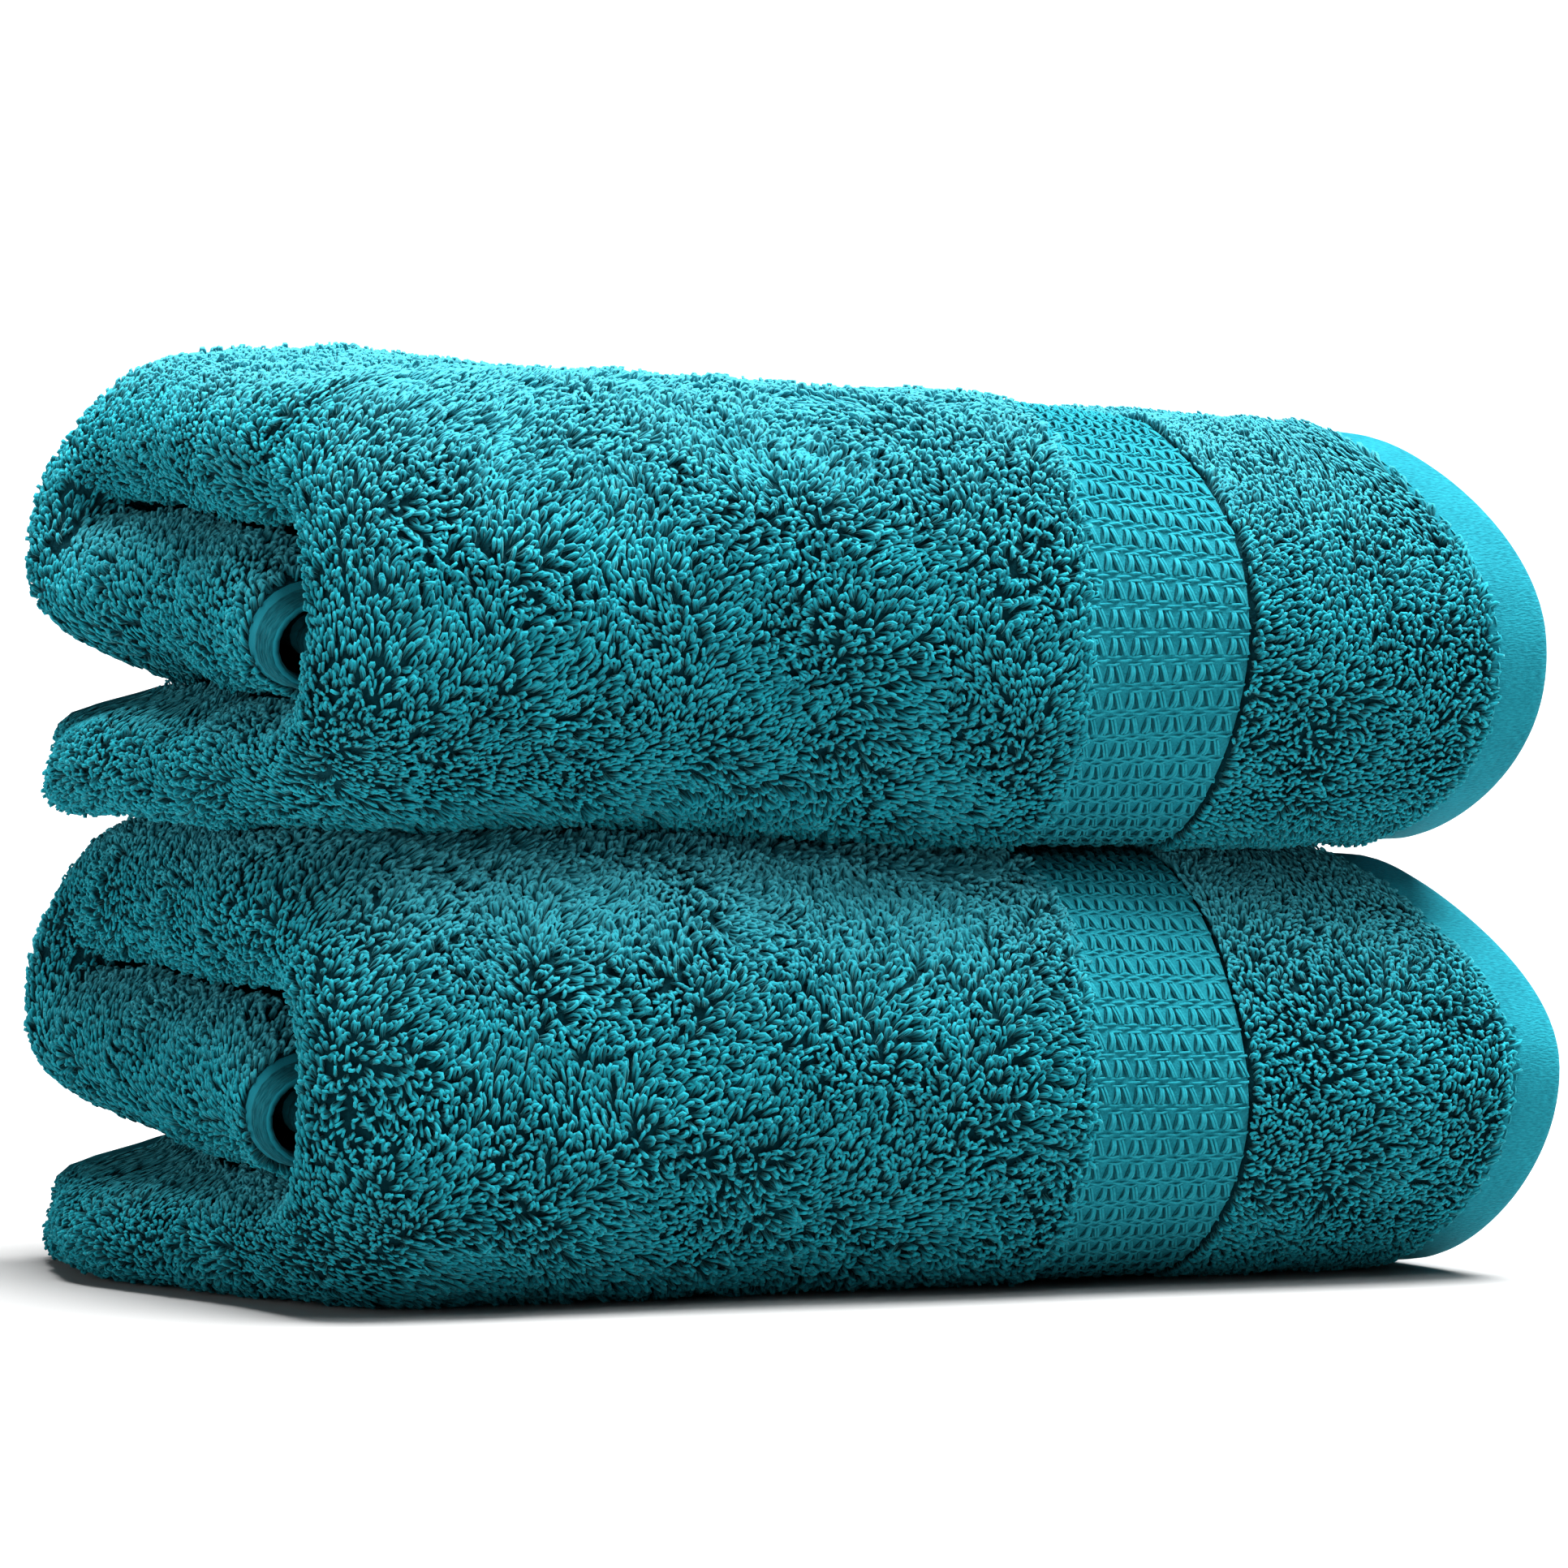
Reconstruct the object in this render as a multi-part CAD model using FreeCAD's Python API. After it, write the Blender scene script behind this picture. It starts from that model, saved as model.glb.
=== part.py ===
import FreeCAD, Part
import math
import os

# A set of two folded bath towels, one lying on the other, in millimetres.
# Each towel is one terry cloth, 700 wide and 1400 long. It is folded in half
# twice along its length, which makes a slab of four layers, and the slab is
# then folded in thirds across its width, like a letter. X runs along the
# slab, the front is at -Y and Z is up. The origin is under the middle of the
# lower towel.

Vector = FreeCAD.Vector

# Driving dimensions
CLOTH_WIDTH = 700.0
CLOTH_LENGTH = 1400.0
LAYER = 10.2  # pitch of one layer of cloth with its pile on both sides
SLIT = 0.2  # air between one layer and the next
CREASE = 1.2  # air between one slab and the next
TOWEL_GAP = 0.3  # air between the two towels
HEM_WIDTH = 18.0  # the sewn hem at each short end of the cloth
STRIP_WIDTH = 73.0  # terry between the hem and the border
BORDER_WIDTH = 50.0  # the flat woven border
GROOVE = 1.4  # sunk line on each side of the border
SIDE_HEM_WIDTH = 12.0  # the sewn hem along each long side of the cloth
SIDE_HEM_THICKNESS = 3.6
END_FOLD_INSET = 12.2  # how much shorter the two inner layers are at the hem end
REAR_EDGE = 34.0  # how far the bottom slab runs past the rear bend's centre
THREAD = 0.9

# What follows from them
HALF_SLAB = 2 * LAYER
HALF_LAYER = LAYER / 2
REAR_RADIUS = HALF_SLAB + CREASE / 2  # middle of the slab round the rear bend
FRONT_RADIUS = 2 * REAR_RADIUS  # middle of the slab round the front bend
Z_BOTTOM = HALF_SLAB
Z_MIDDLE = Z_BOTTOM + 2 * REAR_RADIUS
Z_TOP = Z_MIDDLE + 2 * REAR_RADIUS
TOWEL_HEIGHT = Z_TOP + HALF_SLAB
Z_REAR_BEND = (Z_MIDDLE + Z_TOP) / 2
Z_FRONT_BEND = (Z_BOTTOM + Z_TOP) / 2

BENDS = math.pi * (REAR_RADIUS + FRONT_RADIUS)
SPAN = (CLOTH_WIDTH - BENDS - SIDE_HEM_WIDTH - REAR_EDGE) / 3
DEPTH = SPAN + FRONT_RADIUS + REAR_RADIUS + 2 * HALF_SLAB
Y_FRONT_BEND = -DEPTH / 2 + FRONT_RADIUS + HALF_SLAB
Y_REAR_BEND = DEPTH / 2 - REAR_RADIUS - HALF_SLAB
Y_INNER_EDGE = Y_FRONT_BEND - SIDE_HEM_WIDTH
Y_OUTER_EDGE = Y_REAR_BEND + REAR_EDGE

FOLDS = math.pi * (3 * HALF_LAYER + HALF_LAYER + HALF_LAYER)
RUN = (CLOTH_LENGTH - FOLDS + 2 * END_FOLD_INSET) / 4
LENGTH = RUN + HALF_SLAB
X_LEFT = -LENGTH / 2 + HALF_SLAB
X_RIGHT = (LENGTH - SLIT) / 2
X_END_FOLD = X_RIGHT - END_FOLD_INSET
X_HEM = X_RIGHT - HEM_WIDTH
X_BORDER_END = X_HEM - STRIP_WIDTH
X_BORDER_START = X_BORDER_END - BORDER_WIDTH

# Heights in the slab, measured outwards from its middle
LAYER_MIDDLES = (3 * HALF_LAYER, HALF_LAYER, -HALF_LAYER, -3 * HALF_LAYER)
HALF_BODY = (LAYER - SLIT) / 2


def ribbon_edge(n, y_start, y_end):
    """The edges of the letter fold's line at height n in the slab, from the
    middle slab's end at y_start to the bottom slab's end at y_end."""
    rear = REAR_RADIUS + n
    front = FRONT_RADIUS + n
    start = Vector(0, y_start, Z_MIDDLE - n)
    rear_low = Vector(0, Y_REAR_BEND, Z_REAR_BEND - rear)
    rear_back = Vector(0, Y_REAR_BEND + rear, Z_REAR_BEND)
    rear_high = Vector(0, Y_REAR_BEND, Z_REAR_BEND + rear)
    front_high = Vector(0, Y_FRONT_BEND, Z_FRONT_BEND + front)
    front_nose = Vector(0, Y_FRONT_BEND - front, Z_FRONT_BEND)
    front_low = Vector(0, Y_FRONT_BEND, Z_FRONT_BEND - front)
    end = Vector(0, y_end, Z_BOTTOM - n)
    return [
        Part.LineSegment(start, rear_low).toShape(),
        Part.Arc(rear_low, rear_back, rear_high).toShape(),
        Part.LineSegment(rear_high, front_high).toShape(),
        Part.Arc(front_high, front_nose, front_low).toShape(),
        Part.LineSegment(front_low, end).toShape(),
    ]


def ribbon(x_start, x_end, n_low, n_high, y_start=Y_FRONT_BEND, y_end=None):
    """A band of cloth that follows the letter fold, between two heights in
    the slab and two places along the towel."""
    if y_end is None:
        y_end = Y_OUTER_EDGE - SIDE_HEM_WIDTH
    low = ribbon_edge(n_low, y_start, y_end)
    high = ribbon_edge(n_high, y_start, y_end)
    first = Part.makeLine(Vector(0, y_start, Z_MIDDLE - n_low), Vector(0, y_start, Z_MIDDLE - n_high))
    last = Part.makeLine(Vector(0, y_end, Z_BOTTOM - n_low), Vector(0, y_end, Z_BOTTOM - n_high))
    edges = Part.sortEdges(low + high + [first, last])[0]
    face = Part.Face(Part.Wire(edges))
    face.translate(Vector(x_start, 0, 0))
    return face.extrude(Vector(x_end - x_start, 0, 0))


def layer_band(layer, x_start, x_end, thinner=0.0):
    """One layer of the slab between two places along the towel. A thinner
    weave leaves air on both of its sides."""
    middle = LAYER_MIDDLES[layer]
    half = HALF_BODY - thinner
    return ribbon(x_start, x_end, middle - half, middle + half)


def fold_profile(x, n, inner, outer, side):
    """A half ring in the plane across the slab, open towards the slab. Side
    is -1 for a fold on the left and 1 for one on the right. It stands at
    Y = 0, with the slab's middle at Z = 0 and its outer side at -Z."""

    def half_turn(radius):
        top = Vector(x, 0, -n + radius)
        far = Vector(x + side * radius, 0, -n)
        low = Vector(x, 0, -n - radius)
        return top, far, low

    top, far, low = half_turn(outer)
    edges = [Part.Arc(top, far, low).toShape()]
    if inner > 0:
        in_top, in_far, in_low = half_turn(inner)
        edges.append(Part.Arc(in_top, in_far, in_low).toShape())
        edges.append(Part.makeLine(top, in_top))
        edges.append(Part.makeLine(low, in_low))
    else:
        edges.append(Part.makeLine(top, low))
    return Part.Face(Part.Wire(Part.sortEdges(edges)[0]))


def fold(x, n, inner, outer, side):
    """A fold along the side of the slab, which follows the letter fold."""
    axis = Vector(1, 0, 0)
    face = fold_profile(x, n, inner, outer, side)
    face.translate(Vector(0, Y_FRONT_BEND, Z_MIDDLE))
    middle = face.extrude(Vector(0, Y_REAR_BEND - Y_FRONT_BEND, 0))
    face.translate(Vector(0, Y_REAR_BEND - Y_FRONT_BEND, 0))
    rear = face.revolve(Vector(0, Y_REAR_BEND, Z_REAR_BEND), axis, 180)
    face.rotate(Vector(0, Y_REAR_BEND, Z_REAR_BEND), axis, 180)
    top = face.extrude(Vector(0, Y_FRONT_BEND - Y_REAR_BEND, 0))
    face.translate(Vector(0, Y_FRONT_BEND - Y_REAR_BEND, 0))
    front = face.revolve(Vector(0, Y_FRONT_BEND, Z_FRONT_BEND), axis, 180)
    face.rotate(Vector(0, Y_FRONT_BEND, Z_FRONT_BEND), axis, 180)
    bottom = face.extrude(Vector(0, Y_OUTER_EDGE - SIDE_HEM_WIDTH - Y_FRONT_BEND, 0))
    return middle.fuse([rear, top, front, bottom]).removeSplitter()


def side_hem(y_start, z_middle, outward):
    """The hem on one long side of the cloth. It goes back and forth through
    the four layers of the slab, round the two folds on the left and the one
    on the right. Outward is the Z direction of the slab's outer side."""
    half = SIDE_HEM_THICKNESS / 2
    axis = Vector(0, 1, 0)

    def strip(x_start, x_end, n):
        size = Vector(x_start, y_start, z_middle + outward * n - half)
        return Part.makeBox(x_end - x_start, SIDE_HEM_WIDTH, SIDE_HEM_THICKNESS, size)

    def turn(x, n, radius, side):
        centre = Vector(x, y_start, z_middle + outward * n)
        ring = Part.makeCylinder(radius + half, SIDE_HEM_WIDTH, centre, axis)
        hole = Part.makeCylinder(radius - half, SIDE_HEM_WIDTH, centre, axis)
        reach = 4 * HALF_SLAB
        corner = Vector(x if side > 0 else x - reach, y_start - 1, centre.z - reach / 2)
        side_half = Part.makeBox(reach, SIDE_HEM_WIDTH + 2, reach, corner)
        return ring.cut(hole).common(side_half)

    outer, second, third, fourth = LAYER_MIDDLES
    pieces = [
        strip(X_LEFT, X_HEM, outer),
        strip(X_LEFT, X_HEM, second),
        strip(X_LEFT, X_END_FOLD, third),
        strip(X_LEFT, X_END_FOLD, fourth),
        turn(X_LEFT, 0, outer, -1),
        turn(X_LEFT, 0, second, -1),
        turn(X_END_FOLD, (third + fourth) / 2, HALF_LAYER, 1),
    ]
    return pieces[0].fuse(pieces[1:]).removeSplitter()


def end_hem(layer):
    """The hem at a short end of the cloth: thinner than the terry, and as
    wide as the cloth, side hems included."""
    middle = LAYER_MIDDLES[layer]
    half = HALF_BODY - 2.2
    return ribbon(X_HEM, X_RIGHT, middle - half, middle + half, Y_INNER_EDGE, Y_OUTER_EDGE)


def hem_stitching():
    """The row of thread that holds the outer end hem, on its outer face."""
    surface = LAYER_MIDDLES[0] + HALF_BODY - 2.2
    x = X_HEM + 2 * THREAD
    return ribbon(x, x + THREAD, surface, surface + THREAD / 2)


def towel_nodes():
    """The solids of one towel that lies at Z = 0, by name."""
    border_start = X_BORDER_START + GROOVE
    border_end = X_BORDER_END - GROOVE
    return {
        "pile_field": layer_band(0, X_LEFT, X_BORDER_START),
        "border": layer_band(0, border_start, border_end, 0.8),
        "end_strip": layer_band(0, X_BORDER_END, X_HEM),
        "end_hem": end_hem(0),
        "second_pile_field": layer_band(1, X_LEFT, X_BORDER_START),
        "second_border": layer_band(1, border_start, border_end, 0.8),
        "second_end_strip": layer_band(1, X_BORDER_END, X_HEM),
        "second_end_hem": end_hem(1),
        "third_layer": layer_band(2, X_LEFT, X_END_FOLD),
        "fourth_layer": layer_band(3, X_LEFT, X_END_FOLD),
        "outer_left_fold": fold(X_LEFT, 0, HALF_SLAB - LAYER + SLIT / 2, HALF_SLAB - SLIT / 2, -1),
        "inner_left_fold": fold(X_LEFT, 0, 0, LAYER - SLIT / 2, -1),
        "right_fold": fold(X_END_FOLD, -LAYER, 0, LAYER - SLIT / 2, 1),
        "inner_side_hem": side_hem(Y_INNER_EDGE, Z_MIDDLE, -1),
        "outer_side_hem": side_hem(Y_OUTER_EDGE - SIDE_HEM_WIDTH, Z_BOTTOM, -1),
        "hem_stitching": hem_stitching(),
    }


os.makedirs("parts", exist_ok=True)
for towel, height in (("lower", 0.0), ("upper", TOWEL_HEIGHT + TOWEL_GAP)):
    for name, shape in towel_nodes().items():
        shape.translate(Vector(0, 0, height - SLIT / 2))
        shape.exportStep(f"parts/{towel}_{name}.step")
        print(towel, name, shape.ShapeType, len(shape.Solids), shape.isValid(), round(shape.Volume))
print("length", LENGTH, "depth", DEPTH, "towel height", TOWEL_HEIGHT)
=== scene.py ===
import math
import bpy
import numpy as np
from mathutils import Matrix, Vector


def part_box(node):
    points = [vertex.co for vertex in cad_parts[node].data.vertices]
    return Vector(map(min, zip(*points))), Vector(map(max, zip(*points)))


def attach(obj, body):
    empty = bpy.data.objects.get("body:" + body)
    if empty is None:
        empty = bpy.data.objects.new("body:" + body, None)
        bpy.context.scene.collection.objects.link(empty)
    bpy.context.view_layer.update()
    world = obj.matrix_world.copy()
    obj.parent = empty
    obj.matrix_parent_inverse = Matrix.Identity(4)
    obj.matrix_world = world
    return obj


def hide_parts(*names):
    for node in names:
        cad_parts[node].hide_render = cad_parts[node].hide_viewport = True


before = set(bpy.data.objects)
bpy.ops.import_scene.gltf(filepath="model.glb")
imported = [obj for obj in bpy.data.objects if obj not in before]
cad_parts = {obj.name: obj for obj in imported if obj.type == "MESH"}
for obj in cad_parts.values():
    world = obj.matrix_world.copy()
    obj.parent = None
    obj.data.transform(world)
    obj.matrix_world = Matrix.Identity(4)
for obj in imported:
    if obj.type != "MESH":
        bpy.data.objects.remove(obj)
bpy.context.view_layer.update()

# Two folded bath towels, one on the other. Everything is in metres. A point of
# a towel is first placed on the ideal fold by three numbers: x along the towel,
# n its height in the slab of four layers, outwards from the slab's middle, and
# s its distance along the letter fold. settle() then eases the ideal fold into
# soft cloth.

TOWELS = ("lower", "upper")

# ---------------------------------------------------------------- the cloth
LAYER = 0.0102
CREASE = 0.0012
SIDE_HEM = 0.012
REAR_EDGE = 0.034
TOWEL_GAP = 0.0003
FLOOR_GAP = 0.0001
HALF_SLAB = 2 * LAYER

(left_x, front_y, floor_z), (_, rear_y, _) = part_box("lower_outer_left_fold")
right_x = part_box("lower_end_hem")[1][0]
X_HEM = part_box("lower_end_strip")[1][0]
X_BORDER_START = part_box("lower_pile_field")[1][0]
X_BORDER_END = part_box("lower_end_strip")[0][0]
X_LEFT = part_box("lower_pile_field")[0][0]
X_END_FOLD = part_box("lower_third_layer")[1][0]
LENGTH = right_x - left_x
DEPTH = rear_y - front_y
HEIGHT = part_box("upper_pile_field")[0][2] - TOWEL_GAP - floor_z

REAR_RADIUS = HALF_SLAB + CREASE / 2
FRONT_RADIUS = 2 * REAR_RADIUS
Z_BOTTOM = HALF_SLAB
Z_MIDDLE = Z_BOTTOM + 2 * REAR_RADIUS
Z_TOP = Z_MIDDLE + 2 * REAR_RADIUS
Z_REAR_BEND = (Z_MIDDLE + Z_TOP) / 2
Z_FRONT_BEND = (Z_BOTTOM + Z_TOP) / 2
Y_FRONT_BEND = front_y + FRONT_RADIUS + HALF_SLAB
Y_REAR_BEND = rear_y - REAR_RADIUS - HALF_SLAB

STRETCHES = np.array([
    Y_REAR_BEND - Y_FRONT_BEND + SIDE_HEM,
    math.pi * REAR_RADIUS,
    Y_REAR_BEND - Y_FRONT_BEND,
    math.pi * FRONT_RADIUS,
    Y_REAR_BEND - Y_FRONT_BEND + REAR_EDGE,
])
JOINS = np.concatenate([[0], np.cumsum(STRETCHES)])
MIDDLE, REAR, TOP, FRONT, BOTTOM = range(5)
BENDS = {REAR: REAR_RADIUS, FRONT: FRONT_RADIUS}
S_END = JOINS[-1]

# Where the letter fold begins, the slab's free edge hangs
DROOP = 0.0068  # this much lower than the rest
DROOP_RUN = 0.042  # over this length
DROOP_PINCH = 0.33  # and is flatter by this share
DROOP_OUT = 0.0020  # and its left end sticks out this much
DROOP_OUT_REACH = 0.06
# Where the letter fold ends, at the rear, the slab's four layers close up
CLOSE_RUN = 0.050  # over this length
CLOSE_SHARE = 0.5  # by this share
CLOSE_FROM = 0.025  # from this far along the towel
CLOSE_REACH = 0.09  # to the full share over this length


def eased(t):
    t = np.clip(t, 0, 1)
    return t * t * (3 - 2 * t)


def place(x, n, s):
    """The ideal place of points, and the angle at which the slab's outer side
    looks there, from +Y towards +Z."""
    x, n, s = np.broadcast_arrays(*(np.asarray(v, float) for v in (x, n, s)))
    hanging = eased(1 - s / DROOP_RUN)
    n = n * (1 - DROOP_PINCH * hanging)
    x = x - DROOP_OUT * hanging * eased(1 - (x - left_x) / DROOP_OUT_REACH)
    closing = CLOSE_SHARE * eased(1 - (S_END - s) / CLOSE_RUN)
    closing = closing * eased((x - left_x - CLOSE_FROM) / CLOSE_REACH)
    n = n * (1 - closing)
    part = np.clip(np.searchsorted(JOINS, s, side="right") - 1, MIDDLE, BOTTOM)
    run = s - JOINS[part]
    flat = np.zeros_like(run)
    half_pi = math.pi / 2
    angle = np.choose(part, [
        flat - half_pi,
        run / REAR_RADIUS - half_pi,
        flat + half_pi,
        run / FRONT_RADIUS + half_pi,
        flat + 3 * half_pi,
    ])
    middle_y = np.choose(part, [
        Y_FRONT_BEND - SIDE_HEM + run,
        Y_REAR_BEND + REAR_RADIUS * np.cos(angle),
        Y_REAR_BEND - run,
        Y_FRONT_BEND + FRONT_RADIUS * np.cos(angle),
        Y_FRONT_BEND + run,
    ])
    middle_z = np.choose(part, [
        Z_MIDDLE - DROOP * hanging,
        Z_REAR_BEND + REAR_RADIUS * np.sin(angle),
        flat + Z_TOP,
        Z_FRONT_BEND + FRONT_RADIUS * np.sin(angle),
        Z_BOTTOM - HALF_SLAB * closing,
    ])
    return np.stack([x, middle_y + n * np.cos(angle), middle_z + n * np.sin(angle)], -1), angle


WAVES = 9


def drift(points, size, seed):
    """A smooth uneven field, about -1 to 1, with swells of the given size."""
    rng = np.random.default_rng(seed)
    waves = rng.normal(size=(WAVES, 3))
    lengths = np.linalg.norm(waves, axis=1)[:, None]
    waves *= 2 * math.pi / size * rng.uniform(0.6, 1.3, (WAVES, 1)) / lengths
    total = 0.0
    for wave, phase in zip(waves, rng.uniform(0, 2 * math.pi, WAVES)):
        total = total + np.sin(points @ wave + phase)
    return total / math.sqrt(WAVES)


# How far the soft cloth strays from the ideal fold. A band is a middle and a
# width, both as shares of one towel's height, from its underside to its top.
TAPER = 0.072  # the hem end is thinner, by this share
REAR_RISE = 0.0036  # the rear is this much higher, at the top of the stack
TOP_SINK = 0.0022  # and the upper towel's left end this much lower
CORNER_DRAW = 0.0265  # the front wrap's left edge is drawn in, above and below
CHEEK_DRAW = 0.0040  # the left end's upper two folds are flatter than the ideal
CHEEK_BAND = (0.66, 0.27)
SAG = 0.0070  # and weigh down on the lowest fold
SAG_BAND = (0.333, 0.19)
CROWN_DRAW = 0.0231  # the left end's back is rounded off at the top
CROWN_BAND = (1, 0.265)
CREASE_DRAW = 0.0285  # and pinched where the lower two folds meet
CREASE_UP = 0.322
CREASE_ABOVE = 0.090
CREASE_BELOW = 0.056
LOBE_SWELL = 0.0135  # the left end's lowest fold swells out
LOBE_BAND = (0.063, 0.21)
LOBE_DEPTH = (0.715, 0.3)  # a middle and a width from front to rear
REAR_PULL = 0.0209  # and is rounded off at the rear
REAR_PULL_BAND = (0.15, 0.16)
HEM_ROUND = 0.025  # the hem end's front is rounded, above and below
HEM_DRAW = 0.030  # and its corners are drawn in
HEM_LOW_SHARE = 0.47  # the lower corners by this share of that
HEM_BLUNT = 0.0018  # its middle is drawn in this much
LOWER_REACH = 0.0050  # the lower towel's hem end sticks out this much further
LOWER_SPREAD = 0.0034  # and its left end this much
LOWER_CROWN = 0.0045  # which is rounded off less
UPPER_LOBE = 0.0022  # the upper towel's lowest fold swells out this much more
UNEVEN = 0.0015
# Where they act, as shares of the towel's length or depth: up to the given
# share, or from the first number on, growing over the second
LEFT_RUN = 0.45
LEFT_EDGE_RUN = 0.25
RIGHT_PART = (0.6, 0.4)
FRONT_RUN = 0.5
REAR_PART = (0.3, 0.7)
FAR_REAR_PART = (0.55, 0.45)


def swell(value, centre, width):
    return np.exp(-((value - centre) / width) ** 2)


def beyond(value, start, run):
    return eased((value - start) / run)


def settle(points, towel):
    """Moves points of the ideal fold to where soft cloth lies."""
    x, y, z = points[..., 0], points[..., 1], points[..., 2]
    level = TOWELS.index(towel)
    lower = 1 - level
    along = (x - left_x) / LENGTH
    depth = (y - front_y) / DEPTH
    up = z / HEIGHT
    total = level + up
    left = eased(1 - along / LEFT_RUN)
    left_edge = eased(1 - along / LEFT_EDGE_RUN)
    right = beyond(along, *RIGHT_PART)
    front = eased(1 - depth / FRONT_RUN)
    rear = beyond(depth, *REAR_PART)
    edge = (2 * up - 1) ** 2
    hem_edge = edge * np.where(up < 0.5, HEM_LOW_SHARE, 1.0)
    crown = rear * (CROWN_DRAW - LOWER_CROWN * lower) * swell(up, *CROWN_BAND)
    crease_width = np.where(up > CREASE_UP, CREASE_ABOVE, CREASE_BELOW)
    crease = rear * CREASE_DRAW * swell(up, CREASE_UP, crease_width)
    lobe = (LOBE_SWELL + UPPER_LOBE * level) * swell(up, *LOBE_BAND) * swell(depth, *LOBE_DEPTH)
    lobe -= REAR_PULL * swell(up, *REAR_PULL_BAND) * beyond(depth, *FAR_REAR_PART)
    corner = front * CORNER_DRAW * edge ** 2
    cheek = rear * CHEEK_DRAW * swell(up, *CHEEK_BAND)
    new_x = x + left * (crown + corner + cheek) + left_edge * (crease - lobe)
    new_x -= right ** 2 * (HEM_DRAW * hem_edge + HEM_BLUNT * (1 - edge))
    new_x += lower * (right * LOWER_REACH - left * rear * LOWER_SPREAD)
    new_y = y + HEM_ROUND * right * front * hem_edge
    new_z = HEIGHT * total * (1 - TAPER * eased(along)) + REAR_RISE * total / 2 * rear
    new_z -= left * (SAG * swell(up, *SAG_BAND) + TOP_SINK * level * eased(up))
    whole = np.stack([x, y, z + level * HEIGHT], -1)
    new_x += UNEVEN * drift(whole, 0.11, 3)
    new_y += UNEVEN * drift(whole, 0.09, 4)
    new_z += UNEVEN * drift(whole, 0.10, 5) * np.clip(total, 0, 1)
    new_z = np.maximum(new_z, floor_z + FLOOR_GAP)
    return np.stack([new_x, new_y, new_z + level * TOWEL_GAP], -1)


# ------------------------------------------------------------- mesh making
def mesh_piece(name, points, quads, finishes, zones=None, corner_map=None, marks=None):
    """One object from arrays: points, faces of four corners, the finish of each
    face, each corner's place on a map, and numbers that the points carry."""
    mesh = bpy.data.meshes.new(name)
    mesh.vertices.add(len(points))
    mesh.vertices.foreach_set("co", points.astype(np.float32).ravel())
    mesh.loops.add(quads.size)
    mesh.loops.foreach_set("vertex_index", quads.astype(np.int32).ravel())
    mesh.polygons.add(len(quads))
    mesh.polygons.foreach_set("loop_start", np.arange(0, quads.size, 4, dtype=np.int32))
    mesh.polygons.foreach_set("loop_total", np.full(len(quads), 4, np.int32))
    mesh.polygons.foreach_set("use_smooth", np.ones(len(quads), bool))
    if zones is not None:
        mesh.polygons.foreach_set("material_index", zones.astype(np.int32))
    mesh.update(calc_edges=True)
    if corner_map is not None:
        layer = mesh.uv_layers.new(name="OFBake")
        layer.data.foreach_set("uv", corner_map.astype(np.float32).ravel())
    for mark, numbers in (marks or {}).items():
        values = mesh.attributes.new(mark, "FLOAT", "POINT").data
        values.foreach_set("value", numbers.astype(np.float32))
    for finish in finishes:
        mesh.materials.append(finish)
    piece = bpy.data.objects.new(name, mesh)
    bpy.context.scene.collection.objects.link(piece)
    return piece


ODD_WAY = np.array([0.31, 0.52, 0.79])  # any direction that no straight yarn follows
MAP_MARGIN = 0.08


def tubes(lines, radius, sides, capped=False):
    """Points and faces of round yarns along many lines of equal point count.
    lines has the shape (yarns, points, 3), radius (yarns, points). The ends
    stay open, or a yarn of four sides gets a face on each."""
    count, rings, _ = lines.shape
    ahead = np.empty_like(lines)
    ahead[:, 1:-1] = lines[:, 2:] - lines[:, :-2]
    ahead[:, 0] = lines[:, 1] - lines[:, 0]
    ahead[:, -1] = lines[:, -1] - lines[:, -2]
    ahead /= np.linalg.norm(ahead, axis=-1, keepdims=True) + 1e-12
    span = lines[:, -1] - lines[:, 0]
    rise = lines[:, rings // 2] - (lines[:, 0] + lines[:, -1]) / 2
    plane = np.cross(span, rise)
    weak = np.linalg.norm(plane, axis=-1) < 1e-9
    plane[weak] = np.cross(ahead[weak, 0], ODD_WAY)
    plane /= np.linalg.norm(plane, axis=-1, keepdims=True) + 1e-12
    across = np.cross(plane[:, None, :], ahead)
    across /= np.linalg.norm(across, axis=-1, keepdims=True) + 1e-12
    beside = np.cross(ahead, across)
    round_it = (np.arange(sides) * 2 * math.pi / sides + math.pi / sides)[None, None, :, None]
    ring = across[:, :, None, :] * np.cos(round_it) + beside[:, :, None, :] * np.sin(round_it)
    points = lines[:, :, None, :] + ring * radius[:, :, None, None]
    step = np.arange(rings - 1)[:, None] * sides + np.arange(sides)[None, :]
    after = np.arange(rings - 1)[:, None] * sides + (np.arange(sides)[None, :] + 1) % sides
    quad = np.stack([step, after, after + sides, step + sides], -1).reshape(-1, 4)
    if capped:
        last = (rings - 1) * sides
        quad = np.concatenate([quad, [[3, 2, 1, 0], [last, last + 1, last + 2, last + 3]]])
    quads = quad[None] + (np.arange(count) * rings * sides)[:, None, None]
    return points.reshape(-1, 3), quads.reshape(-1, 4)


# ---------------------------------------------------------------- finishes
class Wire:
    """A shader value that Python's own operators can work on."""

    def __init__(self, shading, socket):
        self.shading = shading
        self.socket = socket

    def _with(self, operation, first, second):
        return self.shading.node("ShaderNodeMath", {"operation": operation}, {0: first, 1: second})

    def __add__(self, other):
        return self._with("ADD", self, other)

    def __sub__(self, other):
        return self._with("SUBTRACT", self, other)

    def __rsub__(self, other):
        return self._with("SUBTRACT", other, self)

    def __mul__(self, other):
        return self._with("MULTIPLY", self, other)

    __radd__ = __add__
    __rmul__ = __mul__


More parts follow.
